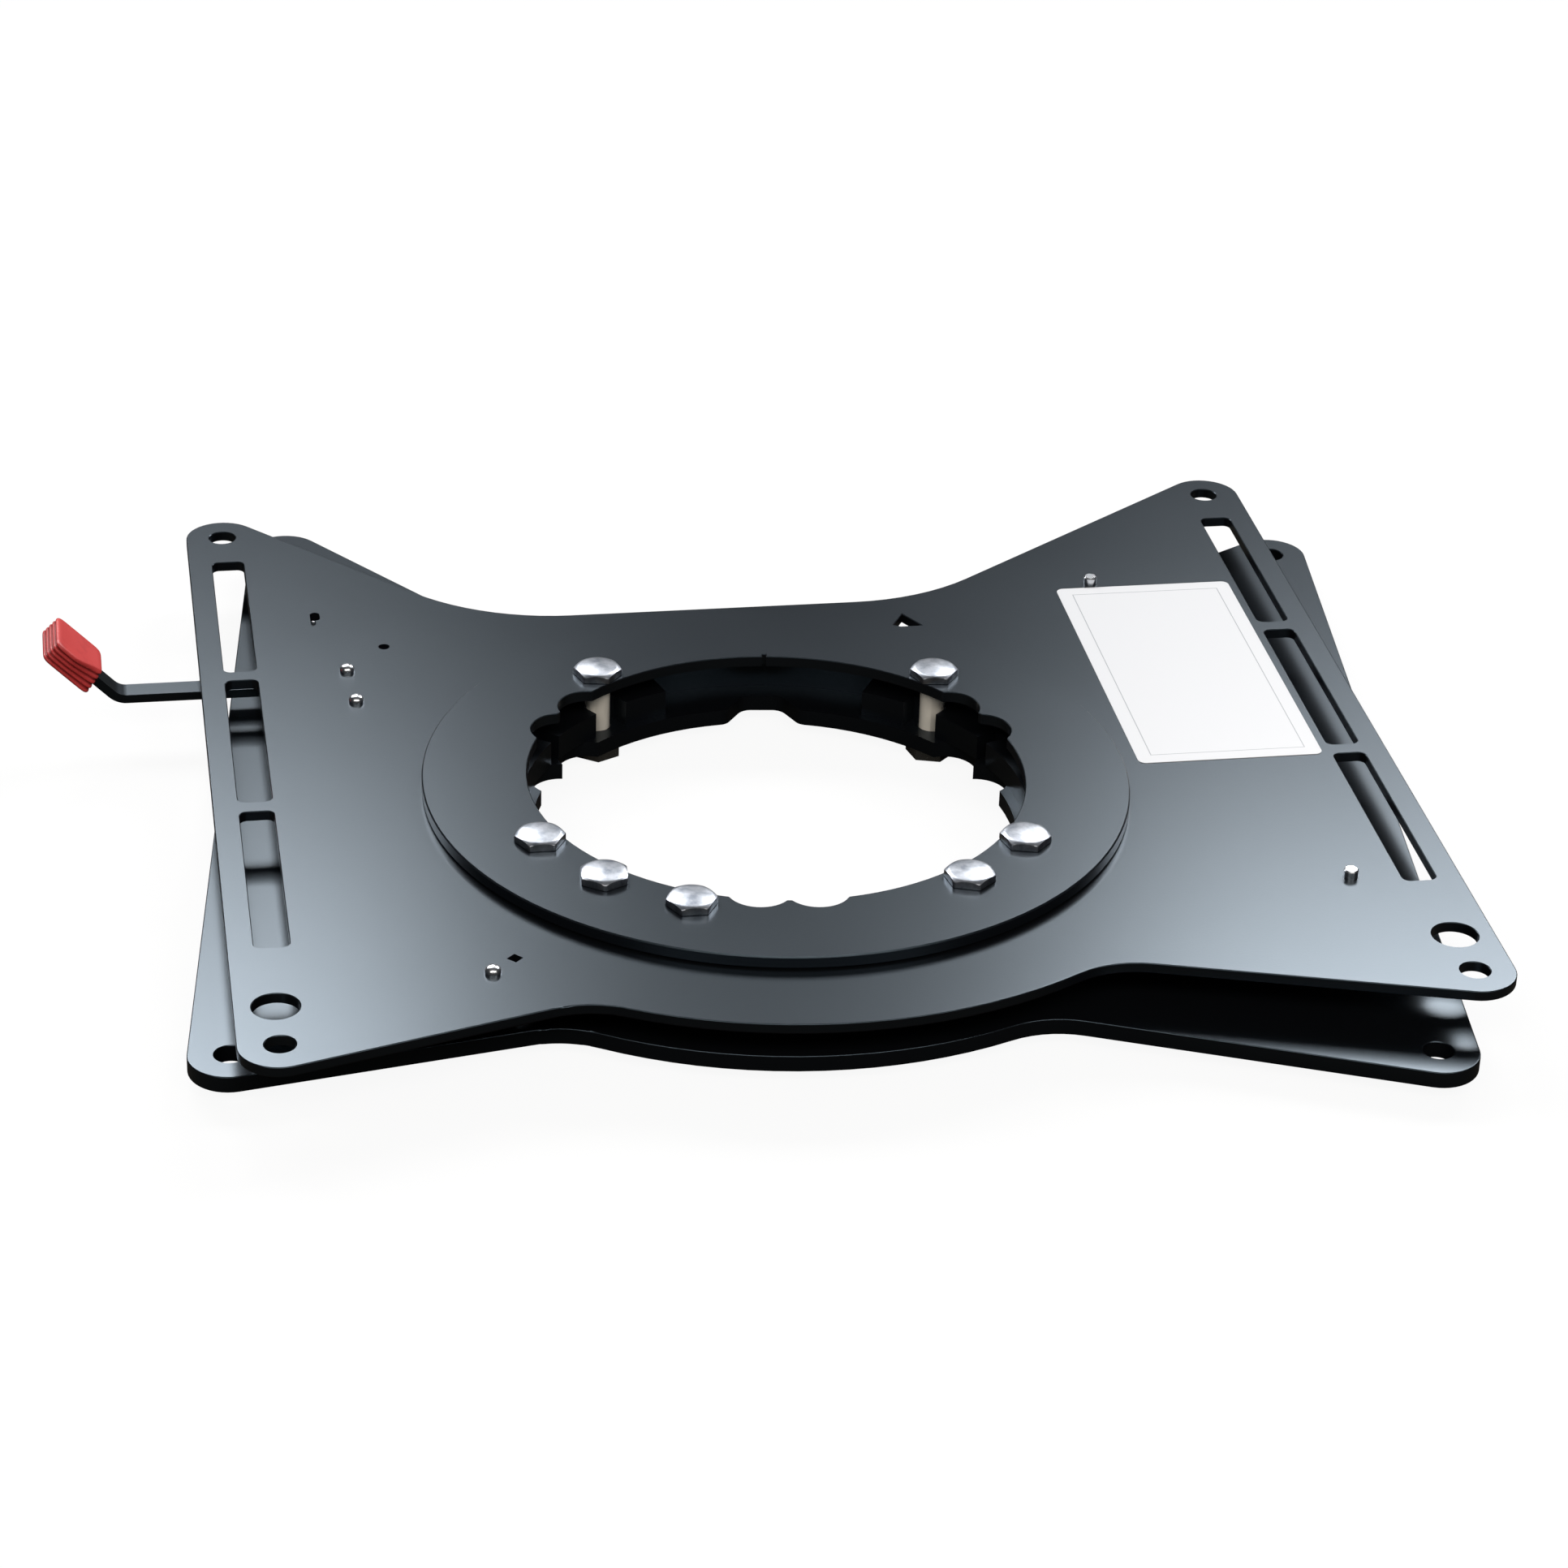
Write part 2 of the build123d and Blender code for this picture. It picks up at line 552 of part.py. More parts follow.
profile.append((coil_end - 2 * spring_wire, spring_radius))
profile.append((coil_end, spring_radius))
profile.append((coil_end, coil_bore_radius))
coil = revolve(make_face(Polyline(*profile, close=True)), Axis.X)
lever_hook_path = FilletPolyline(
    (coil_start + spring_wire, 0, hook_level),
    (0, 0, hook_level),
    (0, 0, lever_bottom - bar_z),
    radius=hook_bend,
)
plate_hook_path = FilletPolyline(
    (coil_end - spring_wire, 0, hook_level),
    (spring_span, 0, hook_level),
    (spring_span, 0, top_top - bar_z + 2 * spring_wire),
    radius=hook_bend,
)
lever_hook = sweep(Plane(lever_hook_path @ 0, z_dir=lever_hook_path % 0) * Circle(spring_wire), lever_hook_path)
plate_hook = sweep(Plane(plate_hook_path @ 0, z_dir=plate_hook_path % 0) * Circle(spring_wire), plate_hook_path)
spring_spot = Pos(spring_hole_x, bar_y, bar_z) * Rot(0, 0, spring_turn)
return_spring = spring_spot * (coil + lever_hook + plate_hook)

# Place the fixed pieces and the turned pieces in the row's frame, and write them
axis_spot = Pos(-middle_x, -middle_y, 0)
turned_spot = axis_spot * Rot(0, 0, rest_turn)
fixed_pieces = {
    "lower_plate": [lower_plate],
    "index_ring": [index_ring],
    "hub_ring": [hub_ring],
    "lower_slide_ring": [lower_slide_ring],
    "upper_slide_ring": [upper_slide_ring],
    "clamp_ring": [clamp_ring],
    "ring_bolts": ring_bolts,
    "ring_washers": ring_washers,
    "ring_nuts": ring_nuts,
}
turned_pieces = {
    "top_plate": [top_plate],
    "label": [label],
    "pivot_rivet": [pivot_rivet],
    "keeper_rivet": [keeper_rivet],
    "plain_rivet": [plain_rivet],
    "back_stud": [back_stud],
    "front_stud": [front_stud],
    "lever_keeper": [lever_keeper],
    "pivot_bush": [pivot_bush],
    "keeper_sleeve": [keeper_sleeve],
    "return_spring": [return_spring],
    "lever": [lever],
    "lever_grip": [lever_grip],
}
for spot, pieces in ((axis_spot, fixed_pieces), (turned_spot, turned_pieces)):
    for name, solids in pieces.items():
        export_step(Compound(children=[spot * solid for solid in solids]), "parts/" + name + ".step")
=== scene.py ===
"""Swivel seat base: finishes, fine pieces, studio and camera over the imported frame."""

import bmesh
import bpy
import numpy as np
from bpy.props import FloatProperty, FloatVectorProperty, IntProperty, PointerProperty
from mathutils import Matrix


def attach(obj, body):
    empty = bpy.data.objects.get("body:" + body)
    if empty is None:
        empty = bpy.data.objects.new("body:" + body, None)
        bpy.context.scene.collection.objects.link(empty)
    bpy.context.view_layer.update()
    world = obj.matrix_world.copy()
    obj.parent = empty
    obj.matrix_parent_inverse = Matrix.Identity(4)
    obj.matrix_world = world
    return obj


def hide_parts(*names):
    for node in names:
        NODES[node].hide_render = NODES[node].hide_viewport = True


bl_info = {
    "name": "Swivel Seat Base",
    "version": (1, 0, 0),
    "blender": (4, 2, 0),
    "location": "View3D > Sidebar > Swivel Seat",
    "description": "Dresses a swivel seat base: powder coat, zinc hardware, spring, label, grip and studio",
    "category": "Object",
}

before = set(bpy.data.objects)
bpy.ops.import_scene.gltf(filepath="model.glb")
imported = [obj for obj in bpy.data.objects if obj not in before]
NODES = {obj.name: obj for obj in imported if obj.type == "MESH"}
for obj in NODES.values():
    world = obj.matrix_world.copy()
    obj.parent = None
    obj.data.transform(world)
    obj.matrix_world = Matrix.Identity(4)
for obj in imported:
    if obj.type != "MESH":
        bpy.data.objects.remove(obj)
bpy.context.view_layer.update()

MM = 0.001
# Swivel axis in the row frame, and how far the top plate is turned on it
AXIS = (-14.6 * MM, -36.9 * MM)
REST_TURN = np.radians(6.3)
RING_TOP = 29.2 * MM
RING_RADIUS = 135.0 * MM
# Each ring bolt's place round the axis and how far its head was left turned, in degrees
RING_BOLTS = ((50, 31), (130, 34), (210, 24), (230, -2), (250, 24), (310, 43), (330, 38))
# In mm in the top plate's own frame, about the axis: the label's near left corner and its sides
LABEL_CORNER = np.array([142.9, 0.6])
LABEL_SIDES = np.array([73.7, 150.8])
LABEL_MARGIN = 6.0
# The spring's two anchors, its height on the lever bar, and the height of its hook in the keyhole
SPRING_LEVER_END = np.array([-172.0, 117.5])
SPRING_PLATE_END = np.array([-165.9, 151.9])
SPRING_LEVEL = 14.4
SPRING_TOP = 25.1
LEVER_BAR_WIDTH = 9.2
# The grip's length, width and thickness, its rounded rim, its middle and its tilt
GRIP_LENGTH = 24.0
GRIP_WIDTH = 25.0
GRIP_THICK = 9.4
GRIP_RIM = 1.1
GRIP_MIDDLE = np.array([-263.05, 118.5, 32.16])
GRIP_TILT = np.radians(46.0)


def linear(code):
    """An sRGB hex colour as linear red, green, blue and alpha."""
    channels = [int(code[i:i + 2], 16) / 255 for i in (1, 3, 5)]
    return tuple(c / 12.92 if c <= 0.04045 else ((c + 0.055) / 1.055) ** 2.4 for c in channels) + (1.0,)


def shown(colour):
    """A linear colour property as red, green, blue and alpha."""
    return tuple(colour)[:3] + (1.0,)


# ---- Materials


def new_material(name):
    """An empty node material with its output, and the shader linked to it."""
    material = bpy.data.materials.new(name)
    material.use_nodes = True
    tree = material.node_tree
    tree.nodes.clear()
    output = tree.nodes.new("ShaderNodeOutputMaterial")
    shader = tree.nodes.new("ShaderNodeBsdfPrincipled")
    tree.links.new(shader.outputs[0], output.inputs[0])
    return material, tree, shader


def add(tree, kind, settings=None, **inputs):
    """Add one node: settings are its properties, inputs are numbers, colours or sockets by socket name."""
    node = tree.nodes.new(kind)
    for key, value in (settings or {}).items():
        setattr(node, key, value)
    for key, value in inputs.items():
        name = key.replace("_", " ")
        socket = node.inputs[int(name[1:])] if name[0] == "n" and name[1:].isdigit() else node.inputs[name]
        if isinstance(value, bpy.types.NodeSocket):
            tree.links.new(value, socket)
        else:
            socket.default_value = value
    return node


def powder_coat(name, colour, roughness, peel):
    """Black polyester powder coat on laser-cut steel: near-black, semi-gloss, with fine orange peel."""
    material, tree, shader = new_material(name)
    place = add(tree, "ShaderNodeTexCoord").outputs["Object"]
    # Orange peel cells are about 1 mm across, and the gloss changes over about 40 mm
    cells = add(tree, "ShaderNodeTexNoise", Vector=place, Scale=1 / (1.0 * MM), Detail=2.0, Roughness=0.5)
    flow = add(tree, "ShaderNodeTexNoise", Vector=place, Scale=1 / (40 * MM), Detail=1.0, Roughness=0.4)
    bump = add(tree, "ShaderNodeBump", Strength=peel, Distance=0.05 * MM, Height=cells.outputs["Fac"])
    tree.links.new(bump.outputs["Normal"], shader.inputs["Normal"])
    # Slow change in gloss, as handled powder coat has, always a little duller than the named roughness
    gloss = add(tree, "ShaderNodeMapRange", Value=flow.outputs["Fac"])
    gloss.inputs["To Min"].default_value = roughness
    gloss.inputs["To Max"].default_value = roughness + 0.012
    tree.links.new(gloss.outputs["Result"], shader.inputs["Roughness"])
    shader.inputs["Base Color"].default_value = shown(colour)
    shader.inputs["IOR"].default_value = 1.5
    # The coat's sheen is a little blue, while its lamps stay white
    shader.inputs["Specular IOR Level"].default_value = 0.8
    shader.inputs["Specular Tint"].default_value = (0.63, 0.82, 1.0, 1.0)
    return material


def zinc_plate(name, light, dark, roughness, dull_below=None):
    """Bright zinc plate on turned or pressed steel: cool grey metal with fine mottling and soft gloss.

    Below the height dull_below it is matt and warm, as zinc is on a shank that was never rubbed bright.
    """
    material, tree, shader = new_material(name)
    place = add(tree, "ShaderNodeTexCoord").outputs["Object"]
    grain = add(tree, "ShaderNodeTexNoise", Vector=place, Scale=1 / (4 * MM), Detail=3.0, Roughness=0.5)
    ramp = add(tree, "ShaderNodeValToRGB", Fac=grain.outputs["Fac"])
    ramp.color_ramp.elements[0].position = 0.30
    ramp.color_ramp.elements[0].color = dark
    ramp.color_ramp.elements[1].position = 0.68
    ramp.color_ramp.elements[1].color = light
    tree.links.new(ramp.outputs["Color"], shader.inputs["Base Color"])
    gloss = add(tree, "ShaderNodeMapRange", Value=grain.outputs["Fac"])
    gloss.inputs["To Min"].default_value = roughness + 0.05
    gloss.inputs["To Max"].default_value = roughness - 0.04
    tree.links.new(gloss.outputs["Result"], shader.inputs["Roughness"])
    bump = add(tree, "ShaderNodeBump", Strength=0.06, Distance=0.05 * MM, Height=grain.outputs["Fac"])
    tree.links.new(bump.outputs["Normal"], shader.inputs["Normal"])
    shader.inputs["Metallic"].default_value = 1.0
    if dull_below is not None:
        height = add(tree, "ShaderNodeSeparateXYZ", Vector=place)
        above = add(tree, "ShaderNodeMath", {"operation": "GREATER_THAN"}, n0=height.outputs[2], n1=dull_below)
        tone = add(tree, "ShaderNodeMix", {"data_type": "RGBA"}, Factor=above.outputs[0])
        tone.inputs[6].default_value = linear("#f3ecdf")
        tree.links.new(ramp.outputs["Color"], tone.inputs[7])
        tree.links.new(tone.outputs[2], shader.inputs["Base Color"])
        bright = add(tree, "ShaderNodeMapRange", Value=above.outputs[0])
        bright.inputs["To Min"].default_value = 0.0
        tree.links.new(bright.outputs["Result"], shader.inputs["Metallic"])
    return material


def spring_wire_finish(name):
    """Spring steel wire, drawn: darker grey metal with small oily patches a millimetre or so long."""
    material, tree, shader = new_material(name)
    place = add(tree, "ShaderNodeTexCoord").outputs["Object"]
    streaks = add(tree, "ShaderNodeTexNoise", Vector=place, Scale=1 / (1.4 * MM), Detail=3.0, Roughness=0.6)
    ramp = add(tree, "ShaderNodeValToRGB", Fac=streaks.outputs["Fac"])
    ramp.color_ramp.elements[0].color = linear("#8f9092")
    ramp.color_ramp.elements[1].color = linear("#c9cacd")
    tree.links.new(ramp.outputs["Color"], shader.inputs["Base Color"])
    shader.inputs["Metallic"].default_value = 1.0
    shader.inputs["Roughness"].default_value = 0.32
    return material


def moulded_grip(name, colour, groove_colour):
    """Soft red PVC grip, moulded: satin, faint fine grain, with painted shade in the grooves between the ribs."""
    material, tree, shader = new_material(name)
    place = add(tree, "ShaderNodeTexCoord").outputs["Object"]
    stain = add(tree, "ShaderNodeTexNoise", Vector=place, Scale=1 / (9 * MM), Detail=4.0, Roughness=0.6)
    ramp = add(tree, "ShaderNodeValToRGB", Fac=stain.outputs["Fac"])
    ramp.color_ramp.elements[0].position = 0.25
    ramp.color_ramp.elements[0].color = shown(groove_colour)
    ramp.color_ramp.elements[1].position = 0.5
    ramp.color_ramp.elements[1].color = shown(colour)
    # The mesh's shade attribute is 1 at the bottom of a groove, where a darker red is mixed in as painted shade
    groove_painted_shade = add(tree, "ShaderNodeAttribute", {"attribute_name": "shade"})
    tone = add(tree, "ShaderNodeMix", {"data_type": "RGBA"}, Factor=groove_painted_shade.outputs["Fac"])
    tree.links.new(ramp.outputs["Color"], tone.inputs[6])
    # Painted shade: this darker red fills the bottom of each groove
    tone.inputs[7].default_value = linear("#861f20")
    tree.links.new(tone.outputs[2], shader.inputs["Base Color"])
    grain = add(tree, "ShaderNodeTexNoise", Vector=place, Scale=1 / (0.5 * MM), Detail=2.0)
    bump = add(tree, "ShaderNodeBump", Strength=0.3, Distance=0.04 * MM, Height=grain.outputs["Fac"])
    tree.links.new(bump.outputs["Normal"], shader.inputs["Normal"])
    shader.inputs["Roughness"].default_value = 0.42
    return material


def bearing_plastic(name):
    """Black acetal slide ring, machined: dull sheen with fine turning lines."""
    material, tree, shader = new_material(name)
    place = add(tree, "ShaderNodeTexCoord").outputs["Object"]
    centred = add(tree, "ShaderNodeMapping", {"vector_type": "POINT"}, Vector=place,
                  Location=(-AXIS[0], -AXIS[1], 0.0))
    # Real turning lines are about 0.6 mm apart, too fine to show here. The wave node turns 20 radians in each
    # unit, so these come out 2 pi times as coarse
    lines = add(tree, "ShaderNodeTexWave", {"wave_type": "RINGS", "rings_direction": "Z"},
                Vector=centred.outputs["Vector"], Scale=1 / (20 * 0.6 * MM), Distortion=0.2)
    bump = add(tree, "ShaderNodeBump", Strength=0.2, Distance=0.03 * MM, Height=lines.outputs["Fac"])
    tree.links.new(bump.outputs["Normal"], shader.inputs["Normal"])
    shader.inputs["Base Color"].default_value = linear("#161617")
    shader.inputs["Roughness"].default_value = 0.5
    return material


# ---- Shapes worked out as arrays


def grid_mesh(name, points, loop_u=False, loop_v=False, caps=(False, False), shade=None):
    """Mesh of a (u, v) grid of points. loop_u and loop_v join the last row or column to the first.

    Each cap closes an end row with one polygon. Faces turn so that u x v points out. shade is one number
    for each row, kept as the mesh's shade attribute.
    """
    nu, nv = points.shape[:2]
    index = np.arange(nu * nv).reshape(nu, nv)
    iu = np.arange(nu if loop_u else nu - 1)
    iv = np.arange(nv if loop_v else nv - 1)
    a = index[np.ix_(iu, iv)]
    b = index[np.ix_((iu + 1) % nu, iv)]
    c = index[np.ix_((iu + 1) % nu, (iv + 1) % nv)]
    d = index[np.ix_(iu, (iv + 1) % nv)]
    faces = np.stack([a, b, c, d], axis=-1).reshape(-1, 4).tolist()
    if caps[0]:
        faces.append(index[0].tolist())
    if caps[1]:
        faces.append(index[-1][::-1].tolist())
    mesh = bpy.data.meshes.new(name)
    mesh.from_pydata(points.reshape(-1, 3).tolist(), [], faces)
    if shade is not None:
        mesh.attributes.new("shade", "FLOAT", "POINT").data.foreach_set("value", np.repeat(shade, nv))
    mesh.update()
    return mesh


def put(name, meshes, material, body, replaced=(), smooth=35.0):
    """Join meshes into one piece at the origin, give it its finish, and tie it to its CAD body."""
    joined = bmesh.new()
    for mesh in meshes:
        joined.from_mesh(mesh)
        bpy.data.meshes.remove(mesh)
    bmesh.ops.recalc_face_normals(joined, faces=joined.faces)
    mesh = bpy.data.meshes.new(name)
    joined.to_mesh(mesh)
    joined.free()
    piece = bpy.data.objects.new(name, mesh)
    bpy.context.scene.collection.objects.link(piece)
    mesh.materials.append(material)
    mesh.polygons.foreach_set("use_smooth", np.ones(len(mesh.polygons), bool))
    mesh.set_sharp_from_angle(angle=np.radians(smooth))
    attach(piece, body)
    if replaced:
        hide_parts(*replaced)
    return piece


def turned(points):
    """Points in the top plate's own frame, in mm about the swivel axis, as row-frame metres."""
    c, s = np.cos(REST_TURN), np.sin(REST_TURN)
    x = points[..., 0] * c - points[..., 1] * s
    y = points[..., 0] * s + points[..., 1] * c
    return np.stack([x * MM + AXIS[0], y * MM + AXIS[1], points[..., 2] * MM], axis=-1)


def hexagon_radius(angle, flats):
    """Distance from a hexagon's centre to its side in each direction.

    It is half the width across flats over the cosine of the angle from the nearest flat's middle.
    """
    nearest = (angle + np.pi / 6) % (np.pi / 3) - np.pi / 6
    return flats / 2 / np.cos(nearest)


def bolt_points(sizes, turn):
    """Closed surface of one bolt about its own axis, as radius by angle and height.

    The head is a hexagon cut by a 30 degree cone and crowned on top, and the shank is plain. Below it the
    thread's radius is a triangle wave of height over pitch plus angle over a full turn, which winds it
    left-handed. A minus would wind it right-handed, as a real one is.
    """
    angle = np.linspace(0, 2 * np.pi, 96, endpoint=False)
    level = np.ones_like(angle)
    low = RING_TOP / MM
    chamfer, crown_height, foot, centre = 0.5, 0.6, 0.25, 0.001
    corner_round, thread_start, point_height, rolled_in, point_taper = 0.12, 0.3, 0.9, 0.05, 0.3
    face = sizes.head_flats / 2 - chamfer
    # Crown of the head: from its middle out to the cone's start
    crown_r = face * np.array([centre, 0.25, 0.5, 0.75, 0.9, 1.0])
    crown_z = low + sizes.head_height - crown_height * (crown_r / face) ** 2
    rows = [(r * level, z * level) for r, z in zip(crown_r, crown_z)]
    # Cone down to the flats, and the washer face rounded off below
    hexagon = hexagon_radius(angle + turn, sizes.head_flats)
    beyond = hexagon - face
    slope = np.tan(np.radians(30))
    rows += [(face + beyond * share, crown_z[-1] - beyond * share * slope) for share in (0.35, 0.7, 0.93)]
    rows.append((hexagon, crown_z[-1] - beyond * slope - corner_round))
    rows.append((hexagon, (low + foot) * level))
    rows.append((hexagon - foot, low * level))
    # Plain shank, then the thread
    rows.append((sizes.thread_radius * level, low * level))
    rows.append((sizes.thread_radius * level, sizes.plain_bottom * level))
    bottom = -sizes.tail_depth
    for z in np.arange(sizes.plain_bottom - thread_start, bottom + point_height, -sizes.thread_pitch / 6):
        phase = (z / sizes.thread_pitch + angle / (2 * np.pi)) % 1.0
        depth = sizes.thread_depth * (1 - np.abs(2 * phase - 1))
        rows.append((sizes.thread_radius - rolled_in - depth, z * level))
    rows.append(((sizes.thread_radius - sizes.thread_depth - point_taper) * level, bottom * level))
    rows.append((centre * level, bottom * level))
    radius = np.array([r for r, _ in rows])
    height = np.array([z for _, z in rows])
    return np.stack([radius * np.cos(angle), radius * np.sin(angle), height], axis=-1)


def tube_along(path, radius, sides=12):
    """Round wire along a path: rings of points square to the path, carried along it without twisting."""
    path = np.asarray(path, float)
    tangent = np.gradient(path, axis=0)
    tangent /= np.linalg.norm(tangent, axis=1)[:, None]
    normal = np.empty_like(path)
    seed = np.array([0.0, 0.0, 1.0]) if abs(tangent[0, 2]) < 0.9 else np.array([1.0, 0.0, 0.0])
    for i in range(len(path)):
        seed = seed - tangent[i] * seed.dot(tangent[i])
        seed /= np.linalg.norm(seed)
        normal[i] = seed
    across = np.cross(tangent, normal)
    turn = np.linspace(0, 2 * np.pi, sides, endpoint=False)
    ring = np.cos(turn)[None, :, None] * normal[:, None] + np.sin(turn)[None, :, None] * across[:, None]
    return path[:, None] + radius * ring


# ---- Sizes and colours a user would change


class FinishSettings(bpy.types.PropertyGroup):
    coat_colour: FloatVectorProperty(
        name="Powder coat", description="Colour of the powder coat on the steel plates",
        subtype="COLOR", size=3, min=0, max=1, default=linear("#0b0c0f")[:3])
    coat_roughness: FloatProperty(
        name="Coat roughness", description="Gloss of the powder coat, lower is glossier",
        min=0.05, max=1, default=0.276, subtype="FACTOR")
    grip_colour: FloatVectorProperty(
        name="Grip", description="Colour of the moulded grip",
        subtype="COLOR", size=3, min=0, max=1, default=linear("#cc3f3e")[:3])
    groove_colour: FloatVectorProperty(
        name="Grip shade", description="Darker tone that dirt leaves on the grip",
        subtype="COLOR", size=3, min=0, max=1, default=linear("#b53234")[:3])
    label_colour: FloatVectorProperty(
        name="Label", description="Colour of the bare label",
        subtype="COLOR", size=3, min=0, max=1, default=linear("#cfd0d3")[:3])


class BoltSettings(bpy.types.PropertyGroup):
    pitch_radius: FloatProperty(name="Bolt circle", description="Radius of the ring bolts' circle, in mm",
                                default=104.2, min=98, max=120)
    head_flats: FloatProperty(name="Head flats", description="Width across the head's flats, in mm",
                              default=17.0, min=10, max=20)
    head_height: FloatProperty(name="Head height", description="Height of the head, in mm",
                               default=4.0, min=2, max=8)
    thread_radius: FloatProperty(name="Shank radius", description="Radius of the plain shank, in mm",
                                 default=5.0, min=3, max=8)
    thread_pitch: FloatProperty(name="Thread pitch", description="Height of one turn of thread, in mm",
                                default=1.5, min=0.5, max=3)
    thread_depth: FloatProperty(name="Thread depth", description="Depth of the thread, in mm",
                                default=0.6, min=0.1, max=1)
    plain_bottom: FloatProperty(name="Plain end", description="Height where the plain shank ends, in mm",
                                default=5.0, min=-8, max=20)
    tail_depth: FloatProperty(name="Tail", description="How far the bolt reaches below the lower plate, in mm",
                              default=6.0, min=4, max=20)


class SpringSettings(bpy.types.PropertyGroup):
    coils: IntProperty(name="Coils", description="Number of close-wound turns", default=18, min=4, max=60)
    wire: FloatProperty(name="Wire radius", description="Radius of the spring's wire, in mm",
                        default=0.55, min=0.2, max=1.0)
    radius: FloatProperty(name="Coil radius", description="Outer radius of the coil, in mm",
                          default=3.6, min=2, max=5)


class GripSettings(bpy.types.PropertyGroup):
    ribs: IntProperty(name="Grooves", description="Number of grooves round the grip", default=4, min=0, max=8)
    groove: FloatProperty(name="Groove depth", description="Depth of each groove, in mm",
                          default=0.75, min=0.1, max=1.5)
    slant: FloatProperty(name="Slant", description="How far the upper front edge draws back at the bar, in mm",
                         default=7.2, min=0, max=12)
    dish: FloatProperty(name="Dish", description="Hollow of the upper face, in mm", default=0.3, min=0, max=1)


class StudioSettings(bpy.types.PropertyGroup):
    lens: FloatProperty(name="Lens", description="Focal length on a 36 mm frame", default=99.147, min=20, max=300)
    side_power: FloatProperty(name="Side lamps", description="Power of each lamp behind the part", default=53.0,
                              min=0, max=1000, subtype="POWER")
    top_power: FloatProperty(name="Top lamp", description="Power of the overhead lamp", default=0.5,
                             min=0, max=1000, subtype="POWER")
    front_power: FloatProperty(name="Front lamp", description="Power of the lamp on the camera's side",
                               default=34.0, min=0, max=1000, subtype="POWER")


# ---- Operators


class SWIVEL_OT_finish_steel(bpy.types.Operator):
    """Give the coated plates, rings, lever and keeper their powder coat"""
    bl_idname = "swivel.finish_steel"
    bl_label = "Coat the steel plates"

    def execute(self, context):
        finish = context.scene.swivel_finish
        coat = powder_coat("Powder coat semi-gloss", finish.coat_colour, finish.coat_roughness, 0.2)
        for name in ("lower_plate", "index_ring", "hub_ring", "clamp_ring", "top_plate", "lever_keeper", "lever"):
            dress(name, coat)
        return {"FINISHED"}


class SWIVEL_OT_finish_hardware(bpy.types.Operator):
    """Give washers, nuts, rivets, studs, bush and sleeve their zinc plate"""
    bl_idname = "swivel.finish_hardware"
    bl_label = "Plate the hardware"

    def execute(self, context):
        zinc = zinc_plate("Zinc plate pressed", linear("#e6e8ec"), linear("#c8ccd1"), 0.26)
        for name in ("ring_washers", "ring_nuts", "pivot_rivet", "keeper_rivet", "plain_rivet",
                     "back_stud", "front_stud", "pivot_bush", "keeper_sleeve"):
            dress(name, zinc)
        return {"FINISHED"}


class SWIVEL_OT_finish_slides(bpy.types.Operator):
    """Give the slide rings their bearing plastic"""
    bl_idname = "swivel.finish_slides"
    bl_label = "Finish the slide rings"

    def execute(self, context):
        plastic = bearing_plastic("Acetal turned black")
        for name in ("lower_slide_ring", "upper_slide_ring"):
            dress(name, plastic)
        return {"FINISHED"}


class SWIVEL_OT_finish_label(bpy.types.Operator):
    """Give the bare label its film and thin printed frame line"""
    bl_idname = "swivel.finish_label"
    bl_label = "Finish the label"

    def execute(self, context):
        dress("label", label_film("Label film white", context.scene.swivel_finish.label_colour))
        return {"FINISHED"}


class SWIVEL_OT_lever_grip(bpy.types.Operator):
    """Mould the lever's red grip with its ribs, soft corners and slanted front"""
    bl_idname = "swivel.lever_grip"
    bl_label = "Mould the grip"

    def execute(self, context):
        finish = context.scene.swivel_finish
        points, shade = grip_points(context.scene.swivel_grip)
        mesh = grid_mesh("grip", points, loop_v=True, caps=(True, True), shade=shade)
        plastic = moulded_grip("PVC moulded red", finish.grip_colour, finish.groove_colour)
        put("lever_grip_moulded", [mesh], plastic, "release_lever", ("lever_grip",), smooth=50.0)
        return {"FINISHED"}


class SWIVEL_OT_ring_bolts(bpy.types.Operator):
    """Make the seven hexagon bolts with crowned heads and cut threads"""
    bl_idname = "swivel.ring_bolts"
    bl_label = "Make the ring bolts"

    def execute(self, context):
        sizes = context.scene.swivel_bolts
        meshes = []
        for degrees, head_turn in RING_BOLTS:
            turn = np.radians(degrees)
            points = bolt_points(sizes, np.radians(head_turn))
            place = np.array([np.cos(turn), np.sin(turn), 0.0]) * sizes.pitch_radius
            points = (points + place) * MM + np.array([*AXIS, 0.0])
            meshes.append(grid_mesh("bolt", points, loop_v=True, caps=(True, True)))
        # Only the heads are bright: the plating is dull from half a millimetre under them
        dull_below = RING_TOP - 0.5 * MM
        zinc = zinc_plate("Zinc plate bolt", linear("#c6cad1"), linear("#858b95"), 0.34, dull_below)
        put("ring_bolt_set", meshes, zinc, "fixed_base", ("ring_bolts",))
        return {"FINISHED"}


class SWIVEL_OT_return_spring(bpy.types.Operator):
    """Wind the lever's return spring as one wire with a hook at each end"""
    bl_idname = "swivel.return_spring"
    bl_label = "Wind the return spring"

    def execute(self, context):
        sizes = context.scene.swivel_spring
        mesh = grid_mesh("spring", spring_points(sizes), loop_v=True, caps=(True, True))
        put("return_spring_wire", [mesh], spring_wire_finish("Spring wire drawn"), "swivel",
            ("return_spring",), smooth=60.0)
        return {"FINISHED"}


class SWIVEL_OT_stage(bpy.types.Operator):
    """Set the pale floor, the soft lamps and the camera at the photograph's angle"""
    bl_idname = "swivel.stage"
    bl_label = "Set the studio"

    def execute(self, context):
        studio(context.scene, context.scene.swivel_studio)
        return {"FINISHED"}


def dress(name, material):
    """Put one material in every slot of a CAD node."""
    node = NODES[name]
    if not node.material_slots:
        node.data.materials.append(material)
    for slot in node.material_slots:
        slot.material = material


